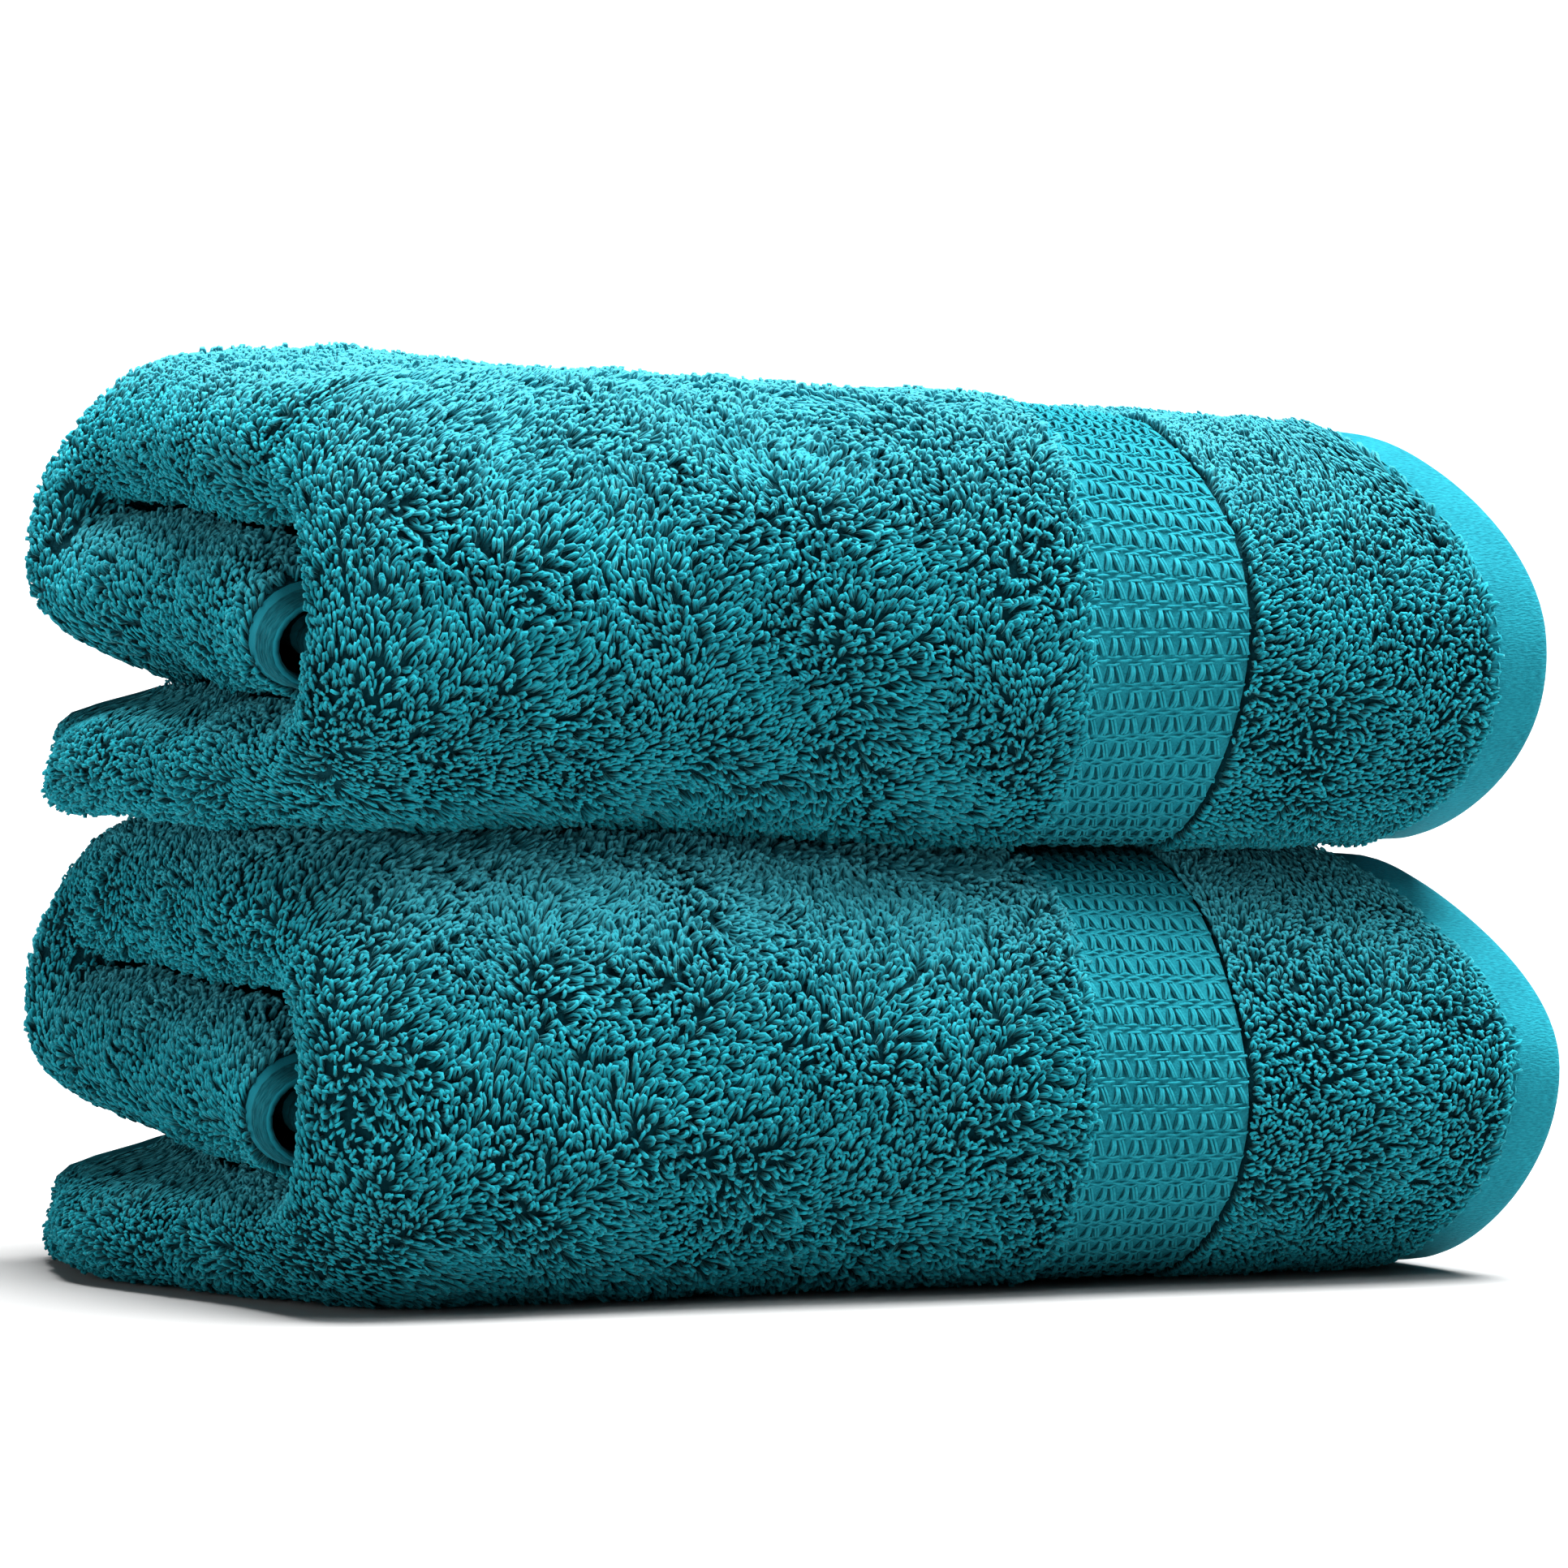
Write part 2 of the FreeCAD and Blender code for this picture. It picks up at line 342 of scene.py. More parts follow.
class Shading:
    """The nodes of a material or of the world, built up one by one."""

    def __init__(self, owner):
        owner.use_nodes = True
        self.tree = owner.node_tree

    def node(self, kind, settings=None, sockets=None, output=0):
        """Adds a node, makes its settings, then fills its sockets."""
        made = self.tree.nodes.new(kind)
        for key, value in (settings or {}).items():
            setattr(made, key, value)
        for key, value in (sockets or {}).items():
            self.feed(made.inputs[key], value)
        return Wire(self, made.outputs[output])

    def feed(self, socket, value):
        if isinstance(value, Wire):
            self.tree.links.new(value.socket, socket)
        else:
            socket.default_value = value


class Finish(Shading):
    """A material, with what cotton finishes have in common."""

    def __init__(self, name):
        self.material = bpy.data.materials.new(name)
        super().__init__(self.material)
        self.shader = self.tree.nodes["Principled BSDF"]

    def noise(self, size, detail=2.0, roughness=0.5):
        """Uneven grey with lumps of about size metres."""
        sockets = {"Scale": 1 / size, "Detail": detail, "Roughness": roughness}
        sockets["Vector"] = self.node("ShaderNodeTexCoord", output=3)
        return self.node("ShaderNodeTexNoise", {}, sockets)

    def colours(self, amount, first, second):
        """A mix of two colours, each plain or a Wire."""
        shades = [c if isinstance(c, Wire) else (*c, 1) for c in (first, second)]
        sockets = {"Factor": amount, 6: shades[0], 7: shades[1]}
        return self.node("ShaderNodeMix", {"data_type": "RGBA"}, sockets, output=2)


def soften(finish, sheen):
    """Cotton's faint sheen, and almost no gloss."""
    finish.shader.inputs["Sheen Weight"].default_value = sheen
    finish.shader.inputs["Sheen Roughness"].default_value = 0.5
    finish.shader.inputs["Sheen Tint"].default_value = (0.25, 0.93, 1.0, 1)
    finish.shader.inputs["Specular IOR Level"].default_value = 0.06


def loop_cotton(name, painted_root_shade, deep, pale, painted_top_light):
    """Loops of dyed cotton: the yarn drifts between two shades at random. Painted shade darkens it
    towards the loops' feet, and painted top light makes loops that face up paler, at their feet too."""
    finish = Finish(name)
    shade = finish.noise(0.010, 3.0) * 1.3 + finish.noise(0.0016, 1.0) * 0.8 - 0.55
    # stand: 0 at a loop's feet, 1 at its head; it sets how much painted shade darkens the yarn
    stand = finish.node("ShaderNodeAttribute", {"attribute_name": "stand"}, output=2)
    upward = finish.node("ShaderNodeAttribute", {"attribute_name": "upward"}, output=2)
    # painted top light: yarn on loops that face up is mixed towards a pale whitish teal
    yarn = finish.colours(upward * 0.44, finish.colours(shade, deep, pale), painted_top_light)
    # painted shade: the feet take a near black colour, less dark where the loop faces up
    foot = finish.colours(upward * upward * 0.95, painted_root_shade, deep)
    lit = stand * stand * 0.9 + stand * 0.1
    finish.feed(finish.shader.inputs["Base Color"], finish.colours(lit, foot, yarn))
    finish.shader.inputs["Roughness"].default_value = 0.9
    soften(finish, 0.34)
    return finish.material


def woven_cotton(name, deep, pale, roughness=0.9, sheen=0.0, dash=None, fuzz=0.0006, bump=0):
    """Woven dyed cotton: plain fuzz, or on a band that has a map in metres,
    short dashes of yarn. dash is how large one is across the band and along."""
    finish = Finish(name)
    fuzzy = finish.noise(fuzz, 2.0)
    weave = fuzzy
    if dash:
        across, along = dash
        spot = finish.node("ShaderNodeUVMap", {"uv_map": "Weave"})
        per_metre = (1 / along, 1 / across, 1)
        thin = finish.node("ShaderNodeVectorMath", {"operation": "MULTIPLY"}, {0: spot, 1: per_metre})
        weave = finish.node("ShaderNodeTexNoise", {}, {"Vector": thin, "Scale": 1.0, "Detail": 1.5})
    shade = weave * 1.5 + finish.noise(0.012, 2.0) * 0.6 - 0.55
    finish.feed(finish.shader.inputs["Base Color"], finish.colours(shade, deep, pale))
    if bump:
        height = weave * 0.8 + fuzzy * 0.2
        raised = finish.node("ShaderNodeBump", {}, {"Strength": 0.9, "Distance": bump, "Height": height})
        finish.feed(finish.shader.inputs["Normal"], raised)
    finish.shader.inputs["Roughness"].default_value = roughness
    soften(finish, sheen)
    return finish.material


loop_finish = loop_cotton(
    "terry_loops",
    # painted shade at the loops' feet
    painted_root_shade=(0.001, 0.036, 0.048),
    deep=(0.004, 0.18, 0.235),
    pale=(0.014, 0.385, 0.475),
    # painted top light on loops that face up
    painted_top_light=(0.125, 0.475, 0.555),
)
# The ground cloth under the loops is near black: painted shade between the loops, far darker than the
# yarn's own dye
shaded_ground_finish = woven_cotton(
    "terry_ground_painted_shade", (0.0008, 0.018, 0.025), (0.002, 0.04, 0.052), roughness=0.95, fuzz=0.0012, bump=0.0008
)
border_finish = woven_cotton(
    "border_ground", (0.005, 0.13, 0.17), (0.014, 0.25, 0.31), sheen=0.05, fuzz=0.0007, bump=0.0003
)
yarn_finish = woven_cotton(
    "border_yarn", (0.007, 0.18, 0.235), (0.020, 0.32, 0.39), roughness=0.85, sheen=0.12, fuzz=0.0009
)
# Dark strips laid in the border's slits: painted shadow of the holes in the weave
slit_shadow_finish = woven_cotton(
    "border_slit_shadows", (0.002, 0.045, 0.060), (0.004, 0.075, 0.095), roughness=0.95, fuzz=0.0009
)
hem_finish = woven_cotton(
    "hem_weave", (0.004, 0.12, 0.165), (0.014, 0.27, 0.34),
    roughness=0.85, sheen=0.10, dash=(0.0018, 0.0005), bump=0.0005,
)
# Side hems: a darker copy of the hem weave, darkened as painted shade where the hems lie in shadow
shaded_selvedge_finish = woven_cotton(
    "selvedge", (0.001, 0.035, 0.05), (0.008, 0.15, 0.19),
    sheen=0.10, dash=(0.0006, 0.0022), bump=0.0005,
)
thread_finish = woven_cotton(
    "sewing_thread", (0.010, 0.19, 0.24), (0.024, 0.30, 0.37), roughness=0.75, sheen=0.1
)


# ------------------------------------------------------- the woven cloth itself
GROUND_HALF = 0.0024  # half the ground cloth's thickness under the loops
BORDER_HALF = 0.0030
HEM_HALF = 0.0028
SUNK_HALF = 0.0006  # inside a hem
LEAST_HALF = 0.0003  # in the groove between the border and the end strip
GROOVE = 0.0014
BESIDE_EDGE = 0.0002  # a line of points stands this close to each edge of a weave
BESIDE_SIDE_HEM = 0.0006
OUTER, SECOND, THIRD, FOURTH = (k * LAYER / 2 for k in (3, 1, -1, -3))
QUARTER = math.pi / 2


def flat_run(start, end, n, look, step):
    """Stations on a flat layer, with some close to each edge of a weave."""
    stops = np.linspace(start, end, max(2, int(abs(end - start) / step) + 1))
    edges = [X_HEM, X_BORDER_END, X_BORDER_END - GROOVE, X_BORDER_START]
    near = [edge + side for edge in edges for side in (-BESIDE_EDGE, BESIDE_EDGE)]
    inside = [x for x in near if min(start, end) < x < max(start, end)]
    stops = np.unique(np.concatenate([stops, inside]))
    if end < start:
        stops = stops[::-1]
    return [(x, n, look) for x in stops]


def turn(x, n, radius, first, last, count, flip=0.0):
    """Stations round a fold, between two flat layers."""
    angles = np.linspace(first, last, count)[1:-1]
    return [(x + radius * math.cos(a), n + radius * math.sin(a), a + flip) for a in angles]


def cloth_lengthwise(from_x=right_x):
    """Stations along the cloth from the outer hem to the second one: x, n and
    the angle that one face of it looks at in the plane across the slab."""
    rows = flat_run(from_x, X_LEFT, OUTER, QUARTER, 0.006)
    rows += turn(X_LEFT, 0, OUTER, QUARTER, 3 * QUARTER, 14)
    rows += flat_run(X_LEFT, X_END_FOLD, FOURTH, 3 * QUARTER, 0.010)
    rows += turn(X_END_FOLD, (THIRD + FOURTH) / 2, LAYER / 2, -QUARTER, QUARTER, 9)
    rows += flat_run(X_END_FOLD, X_LEFT, THIRD, QUARTER, 0.014)
    rows += turn(X_LEFT, 0, SECOND, 3 * QUARTER, QUARTER, 9, -math.pi)
    rows += flat_run(X_LEFT, from_x, SECOND, -QUARTER, 0.012)
    return np.array(rows)


def across_stations(straight=0.007, bent=0.004):
    """Distances along the letter fold, closer together round its bends."""
    stops = []
    for part, (start, end) in enumerate(zip(JOINS[:-1], JOINS[1:])):
        step = bent if part in (REAR, FRONT) else straight
        stops.append(np.linspace(start, end, int((end - start) / step) + 1)[:-1])
    ends = [SIDE_HEM, SIDE_HEM + BESIDE_SIDE_HEM, S_END - SIDE_HEM - BESIDE_SIDE_HEM, S_END - SIDE_HEM]
    return np.unique(np.concatenate(stops + [ends, [S_END]]))


def grid_quads(rows, columns, first=0, flip=False):
    """Faces of a grid of points that is rows by columns large."""
    at = first + np.arange(rows - 1)[:, None] * columns + np.arange(columns - 1)[None, :]
    quads = np.stack([at, at + 1, at + columns + 1, at + columns], -1).reshape(-1, 4)
    return quads[:, ::-1] if flip else quads


def cloth_sheet(towel):
    """The whole woven cloth of one towel, folded, with no loops on it."""
    x, n, look = cloth_lengthwise().T
    s = across_stations()
    outer_two = n > 0
    hem = outer_two & (x > X_HEM)
    groove = outer_two & (x < X_BORDER_END) & (x > X_BORDER_END - GROOVE)
    border = outer_two & (x < X_BORDER_END) & (x > X_BORDER_START) & ~groove
    half = np.select([hem, groove, border], [SUNK_HALF, LEAST_HALF, BORDER_HALF], GROUND_HALF)
    half = half[:, None] * np.ones(len(s))[None, :]
    in_side_hem = (s < SIDE_HEM) | (s > S_END - SIDE_HEM)
    half[:, in_side_hem] = np.minimum(half[:, in_side_hem], SUNK_HALF)
    faces = []
    for side in (1, -1):
        face_x = x[:, None] + side * half * np.cos(look)[:, None]
        face_n = n[:, None] + side * half * np.sin(look)[:, None]
        faces.append(place(face_x, face_n, s[None, :])[0])
    points = settle(np.concatenate([f.reshape(-1, 3) for f in faces]), towel)
    rows, columns = len(x), len(s)
    count = rows * columns
    rim = np.concatenate([
        np.arange(columns),
        np.arange(1, rows) * columns + columns - 1,
        (rows - 1) * columns + np.arange(columns - 1)[::-1],
        np.arange(rows - 1)[::-1] * columns,
    ])
    quads = np.concatenate([
        grid_quads(rows, columns, 0),
        grid_quads(rows, columns, count, True),
        np.stack([rim[:-1], rim[:-1] + count, rim[1:] + count, rim[1:]], -1),
    ])
    row_of = (quads[:, 0] % count) // columns
    column_of = (quads[:, 0] % count) % columns
    zones = np.where(hem[row_of], 2, np.where(border[row_of], 1, 0))
    zones[in_side_hem[column_of]] = 2
    along = np.concatenate([[0], np.cumsum(np.hypot(np.diff(x), np.diff(n)))])
    along /= along[-1]
    u = np.broadcast_to(along[:, None], (rows, columns)).ravel()
    v = np.broadcast_to((s / S_END)[None, :], (rows, columns)).ravel()
    flat_points = np.concatenate([np.stack([u, v * 0.49], -1), np.stack([u, v * 0.49 + 0.505], -1)])
    # the ground under the loops takes the near black painted shade finish
    weaves = [shaded_ground_finish, border_finish, hem_finish]
    return mesh_piece(f"{towel}_towel_cloth", points, quads, weaves, zones, flat_points[quads.ravel()])


# --------------------------------------------------------------- terry loops
# One loop: how far each point of its yarn is to the side, in half widths, how
# high up it is, in loop heights, its thickness, and how much painted shade it
# gets, from the most at its feet (0) to none at its head (1)
LOOP_SIDES = 4
LOOP_ACROSS = np.array([-0.45, -1.0, -0.52, 0.52, 1.0, 0.45])
LOOP_UP = np.array([-0.10, 0.70, 0.98, 0.98, 0.70, -0.10])
LOOP_THICK = np.array([0.85, 1.0, 1.05, 1.05, 1.0, 0.85])
LOOP_STAND = np.array([0.0, 0.75, 1.0, 1.0, 0.75, 0.0])
LOOP_HEIGHT = 0.0040
LOOP_HALF_WIDTH = 0.00074
YARN = 0.00047
# How loops lean and turn. They lie the way that the pile is combed, which
# drifts in wide swells and small ones; the angles are in radians.
COMBED = np.array([0.1, -0.45, 0.7])
WIDE_SWELLS = 0.034
SMALL_SWELLS = 0.012
SMALL_SHARE = 0.45
SWELL_SHARE = 0.55
RUFFLED = 0.32
LEAN = 1.05
LEAN_LEAST = 0.15
LEAN_MOST = 1.3
SPIN = 0.9
TWIST = 0.35
BENT_OVER = 1.3  # loops bend more towards their heads
# From the least to the most of each, as shares
TALL = (0.82, 1.2)
WIDE = (0.75, 1.25)
THICK = (0.88, 1.15)
TALL_SWELL = 0.12
OFF_GRID = 0.42  # loops stand off an even grid by up to this much of its pitch
LOOPS_A_PIECE = 4900


class Pile:
    """How the loops of one stretch of cloth stand: how many there are to a
    square centimetre, then shares of the usual height, lean and thickness,
    and how far they are combed along the towel."""

    def __init__(self, per_cm2, height=1.0, lean=1.0, thick=1.0, aside=0.0):
        self.per_cm2 = per_cm2
        self.height = height
        self.lean = lean
        self.thick = thick
        self.aside = aside


FRONT_PILE = Pile(25)
TOP_PILE = Pile(33, 0.92, 1.25)
STRIP_PILE = Pile(30, 0.8, 0.75, 0.92)
LOBE_PILE = Pile(26, 0.72, 1.0, 0.92)
GROOVE_PILE = Pile(30, 0.75, 0.8, 0.9, -0.3)
REAR_PILE = Pile(15, 1.0, 1.0, 1.15)
EDGE_PILE = Pile(22, 1.05, 1.3, 1.0, 1.0)
PRESSED_PILE = Pile(22, 0.55, 1.2, 1.1)
UNDER_PILE = Pile(14, 0.55, 1.2, 1.2)
HIDDEN_PILE = Pile(5, 0.55, 1.0, 1.2)
LIP_PILE = Pile(16, 0.9, 1.0, 1.2)
END_PILE = Pile(10, 0.55, 1.0, 1.1)
BROW = 0.33  # this much of the front bend's length faces up
EDGE_BAND = (-0.0020, 0.0004)  # about the edge where a pile hangs over
GROOVE_BAND = (0.0002, 0.0016)  # past the border's end
FIELD_OVER = 0.0006  # the pile field's loops reach this far over the border
# Where the pile that is out of sight, or pressed, begins and ends, as shares of
# a stretch's length
UNDER_END = 0.92
LIP_START = 0.9
FULL_FIELD_START = 0.85
FULL_STRIP_START = 0.60
INNER_REAR = 0.035
INNER_FRONT = 0.04


def scatter(rng, length_a, length_b, per_cm2):
    """Places on a patch, on an uneven grid, as shares of its two lengths."""
    pitch = 0.01 / math.sqrt(per_cm2)
    rows, columns = max(1, round(length_a / pitch)), max(1, round(length_b / pitch))
    a, b = np.meshgrid(np.arange(rows) + 0.5, np.arange(columns) + 0.5, indexing="ij")
    a = a + rng.uniform(-OFF_GRID, OFF_GRID, a.shape)
    b = b + 0.5 * (np.arange(rows)[:, None] % 2) + rng.uniform(-OFF_GRID, OFF_GRID, b.shape) - 0.25
    return np.clip(a.ravel() / rows, 0, 1), np.clip(b.ravel() / columns, 0, 1)


def styled(x, n, s, look, pile):
    """Loop places, each with the way that its loop stands."""
    return np.stack(np.broadcast_arrays(x, n, s, look, pile.height, pile.lean, pile.thick, pile.aside))


def skin_patch(rng, part, start_x, end_x, pile, first=0.0, last=1.0):
    """Loop places on the outer skin of one stretch of the letter fold."""
    n = OUTER + GROUND_HALF
    bend = BENDS.get(part)
    wider = (bend + n) / bend if bend else 1.0
    run = STRETCHES[part] * (last - first)
    a, b = scatter(rng, end_x - start_x, run * wider, pile.per_cm2)
    x = start_x + a * (end_x - start_x)
    return styled(x, n, JOINS[part] + STRETCHES[part] * first + b * run, QUARTER, pile)


def inner_patch(rng, start_x, end_x, start_s, end_s, pile):
    """Loop places on the inner face of the innermost layer, where it shows."""
    a, b = scatter(rng, end_x - start_x, end_s - start_s, pile.per_cm2)
    x = start_x + a * (end_x - start_x)
    return styled(x, FOURTH - GROUND_HALF, start_s + b * (end_s - start_s), 3 * QUARTER, pile)


def fold_patch(rng, centre_x, centre_n, radius, first, last, part, pile):
    """Loop places round a fold at the towel's end, along one stretch."""
    bend = BENDS.get(part)
    widest = (bend + centre_n + radius) / bend if bend else 1.0
    start_s = JOINS[part] + (SIDE_HEM if part == MIDDLE else 0)
    end_s = JOINS[part + 1] - (SIDE_HEM if part == BOTTOM else 0)
    a, b = scatter(rng, radius * abs(last - first), (end_s - start_s) * widest, pile.per_cm2)
    look = first + a * (last - first)
    n = centre_n + radius * np.sin(look)
    seeds = styled(centre_x + radius * np.cos(look), n, start_s + b * (end_s - start_s), look, pile)
    if bend is None:
        return seeds
    kept = rng.uniform(size=len(look)) < (bend + n) / (bend + centre_n + radius)
    return seeds[:, kept]


def unit(vectors):
    return vectors / (np.linalg.norm(vectors, axis=-1, keepdims=True) + 1e-9)


def loop_mesh(towel, name, seeds, rng):
    """Loops of yarn that stand on the given places and lean as they are combed."""
    x, n, s, look, height, lean_share, thick_share, aside = seeds
    base, angle = place(x, n, s)
    out = np.stack([np.zeros_like(angle), np.cos(angle), np.sin(angle)], -1)
    normal = np.cos(look)[:, None] * np.array([1.0, 0, 0]) + np.sin(look)[:, None] * out
    count = len(x)
    where = base + np.array([0, 0, HEIGHT * TOWELS.index(towel)])
    swells = np.stack([
        drift(where, WIDE_SWELLS, 11 + k) + SMALL_SHARE * drift(where, SMALL_SWELLS, 21 + k)
        for k in range(3)
    ], -1)
    combed = swells * SWELL_SHARE + COMBED + rng.normal(size=(count, 3)) * RUFFLED
    combed[:, 0] += aside
    combed -= (combed * normal).sum(-1, keepdims=True) * normal
    lean = np.clip(np.linalg.norm(combed, axis=-1), LEAN_LEAST, 1.0) * lean_share * LEAN
    lean = np.minimum(lean, LEAN_MOST)
    combed = unit(combed)
    facing = np.cross(normal, combed)
    spin = rng.normal(size=count) * SPIN
    twist = rng.normal(size=count) * TWIST
    turned = spin[:, None] + twist[:, None] * LOOP_UP[None, :]
    turned = turned[..., None]
    sideways = np.cos(turned) * facing[:, None, :] + np.sin(turned) * combed[:, None, :]
    tall = LOOP_HEIGHT * height * rng.uniform(*TALL, count) * (1 + TALL_SWELL * drift(where, 0.02, 31))
    wide = LOOP_HALF_WIDTH * thick_share * rng.uniform(*WIDE, count)
    upright = tall[:, None] * LOOP_UP[None, :] * np.cos(lean)[:, None]
    swept = (tall * np.sin(lean))[:, None] * np.clip(LOOP_UP, 0, 1)[None, :] ** BENT_OVER
    lines = (
        base[:, None, :]
        + sideways * (wide[:, None] * LOOP_ACROSS[None, :])[..., None]
        + normal[:, None, :] * upright[..., None]
        + combed[:, None, :] * swept[..., None]
    )
    thick = YARN * thick_share * rng.uniform(*THICK, count)
    points, quads = tubes(lines, thick[:, None] * LOOP_THICK[None, :], LOOP_SIDES)
    marks = {
        # stand carries the painted shade at the loops' feet; upward carries the painted top light
        "stand": np.repeat(np.tile(LOOP_STAND, count), LOOP_SIDES),
        "upward": np.repeat(np.clip(normal[:, 2], 0, 1) ** 2, LOOP_SIDES * len(LOOP_UP)),
    }
    corner_map = tube_map(count, len(LOOP_UP), LOOP_SIDES)
    return mesh_piece(name, settle(points, towel), quads, [loop_finish], None, corner_map, marks)


def tube_map(count, rings, sides):
    """A map on which each yarn has a patch of its own, for every corner."""
    across = math.ceil(math.sqrt(count))
    cell = np.stack([np.arange(count) % across, np.arange(count) // across], -1) / across
    ring, side = np.meshgrid(np.arange(rings - 1), np.arange(sides), indexing="ij")
    corners = np.array([[0, 0], [1, 0], [1, 1], [0, 1]])
    patch = np.stack([
        (side.ravel()[:, None] + corners[:, 0]) / sides,
        (ring.ravel()[:, None] + corners[:, 1]) / (rings - 1),
    ], -1)
    patch = MAP_MARGIN + (1 - 2 * MAP_MARGIN) * patch
    return (cell[:, None, None, :] + patch[None] / across).reshape(-1, 2)


def all_loops(towel):
    """Every loop of one towel, in pieces of a handy size."""
    rng = np.random.default_rng(40 + TOWELS.index(towel))
    strip = (X_BORDER_END + BESIDE_EDGE, X_HEM - BESIDE_EDGE)
    field = (X_LEFT, X_BORDER_START + FIELD_OVER)
    groups = {"top": [], "front": [], "rear": [], "under": [], "left_end": [], "right_end": []}
    on_top = towel == TOWELS[-1]
    for (start_x, end_x), front_pile, brow_pile in (
        (field, FRONT_PILE, TOP_PILE),
        (strip, STRIP_PILE, STRIP_PILE),
    ):
        over_x = [end_x + side for side in EDGE_BAND]
        top_pile = brow_pile if on_top else PRESSED_PILE
        groups["top"].append(skin_patch(rng, TOP, start_x, end_x, top_pile))
        groups["front"].append(skin_patch(rng, FRONT, start_x, end_x, brow_pile, 0.0, BROW))
        groups["front"].append(skin_patch(rng, FRONT, start_x, end_x, front_pile, BROW, 1.0))
        groups["rear"].append(skin_patch(rng, REAR, start_x, end_x, REAR_PILE))
        groups["under"].append(skin_patch(rng, BOTTOM, start_x, end_x, UNDER_PILE, 0.0, UNDER_END))
        groups["rear"].append(skin_patch(rng, MIDDLE, start_x, end_x, LIP_PILE, LIP_START, 1.0))
        groups["front"].append(skin_patch(rng, FRONT, *over_x, EDGE_PILE))
        groups["top"].append(skin_patch(rng, TOP, *over_x, EDGE_PILE))
    in_groove = [X_BORDER_END + side for side in GROOVE_BAND]
    for part in (TOP, FRONT):
        groups["front"].append(skin_patch(rng, part, *in_groove, GROOVE_PILE))
    if not on_top:
        groups["top"].append(skin_patch(rng, TOP, *field, FRONT_PILE, FULL_FIELD_START, 1.0))
        groups["top"].append(skin_patch(rng, TOP, *strip, STRIP_PILE, FULL_STRIP_START, 1.0))
    for part in (MIDDLE, REAR, TOP, FRONT, BOTTOM):
        left_fold = (X_LEFT, 0, OUTER + GROUND_HALF, QUARTER, 3 * QUARTER, part, LOBE_PILE)
        right_fold = (X_END_FOLD, -LAYER, LAYER / 2 + GROUND_HALF, -1.0, 1.0, part, END_PILE)
        groups["left_end"].append(fold_patch(rng, *left_fold))
        groups["right_end"].append(fold_patch(rng, *right_fold))
    rear_lip = S_END - SIDE_HEM
    inner_rear = (X_LEFT, X_END_FOLD, rear_lip - INNER_REAR, rear_lip, LIP_PILE)
    inner_front = (X_LEFT, X_LEFT + INNER_FRONT, JOINS[FRONT], JOINS[BOTTOM], HIDDEN_PILE)
    groups["rear"].append(inner_patch(rng, *inner_rear))
    groups["front"].append(inner_patch(rng, *inner_front))
    made = []
    for group, patches in groups.items():
        seeds = np.concatenate(patches, axis=1)
        seeds = seeds[:, np.argsort(seeds[0], kind="stable")]
        share = math.ceil(seeds.shape[1] / LOOPS_A_PIECE)
        for k, part in enumerate(np.array_split(seeds, share, axis=1)):
            made.append(loop_mesh(towel, f"{towel}_{group}_loops_{k + 1}", part, rng))
    return made


# ------------------------------------------------------------- border weave
# The border is rows of cells. As the towel's front shows it, a cell has a tooth
# of two upright strands, two slanted ones on its right, a slit on either side,
# and lines of dashes above it. A dark strip of painted shadow lies in each slit.
# Short floats close the border's left edge.
ROW_PITCH = 0.0076
COLUMN_PITCH = 0.0069
STRAND = 0.00048
DASH = 0.00040
BORDER_FROM = 0.01  # the rows begin this far before the rear bend
BORDER_OVER = 0.0005  # and reach this far over the pile field
CELL_SHIFT = 0.0004  # cells stand this far off the border's edge, and stray by as much
ROW_SWAY = 0.0007
ROW_SWAY_TURN = 1.7
# Of each pair of strands: where the first one's lower end, its foot, is in the
# cell, how much further the second one's is, and the same for their heads
TOOTH = 0.0046
TOOTH_INSET = 0.0001
TOOTH_FOOT = (0.0003, 0.0011)
TOOTH_HEAD = (0.0009, 0.0005)
TOOTH_BEND = 0.7
TOOTH_LOW = 0.0002
TOOTH_HIGH = 0.0010
SLANT_FOOT = (0.0048, 0.0008)
SLANT_HEAD = (0.0029, 0.0009)
SLANT_BEND = 0.85
SLANT_HIGH = 0.0005
SLANT_LOOSE = 0.00008
# A slit's strip of painted shadow: its foot, how far to the side its head is, its bend, and its half
# widths
RIGHT_SLIT = (0.0037, -0.0017, 0.8)
RIGHT_SLIT_WIDE = np.array([0.28, 0.42, 0.46, 0.40, 0.20]) * 0.001
RIGHT_SLIT_LOW = 0.0002
RIGHT_SLIT_HIGH = 0.0003
LEFT_SLIT = (-0.0003, 0.0007, 1.5)
LEFT_SLIT_WIDE = np.array([0.22, 0.21, 0.18, 0.12, 0.06]) * 0.001
LEFT_SLIT_HIGH = 0.0001
SLIT_LOOSE = 0.0002
DASH_LINES = 3
DASH_TOP = 0.0051
DASH_PITCH = 0.00108
DASH_LOOSE = 0.06
DASH_ALONG = np.array([0, 0.0022, 0.0044])
DASH_SLANT = np.array([0.00014, 0.0, -0.00014])
DASH_RISE = np.array([-0.0003, 0.0007, -0.0003])
SIDE_FLOATS = 10
SIDE_FLOAT_PITCH = 0.00076
SIDE_FLOAT_LOOSE = 0.0004
SIDE_FLOAT_SLANT = np.array([0.0004, 0.0, -0.0004])
SIDE_FLOAT_RISE = np.array([-0.0002, 0.0002, 0.0])


def skin_lengths(n):
    """Lengths along the letter fold at a height n in the slab, with the middle
    distances s that they stand at."""
    s = np.linspace(0, S_END, 2000)
    part = np.clip(np.searchsorted(JOINS, s, side="right") - 1, MIDDLE, BOTTOM)
    wider = np.choose(part, [1, (REAR_RADIUS + n) / REAR_RADIUS, 1, (FRONT_RADIUS + n) / FRONT_RADIUS, 1])
    lengths = np.concatenate([[0], np.cumsum(wider[1:] * np.diff(s))])
    return lengths, s


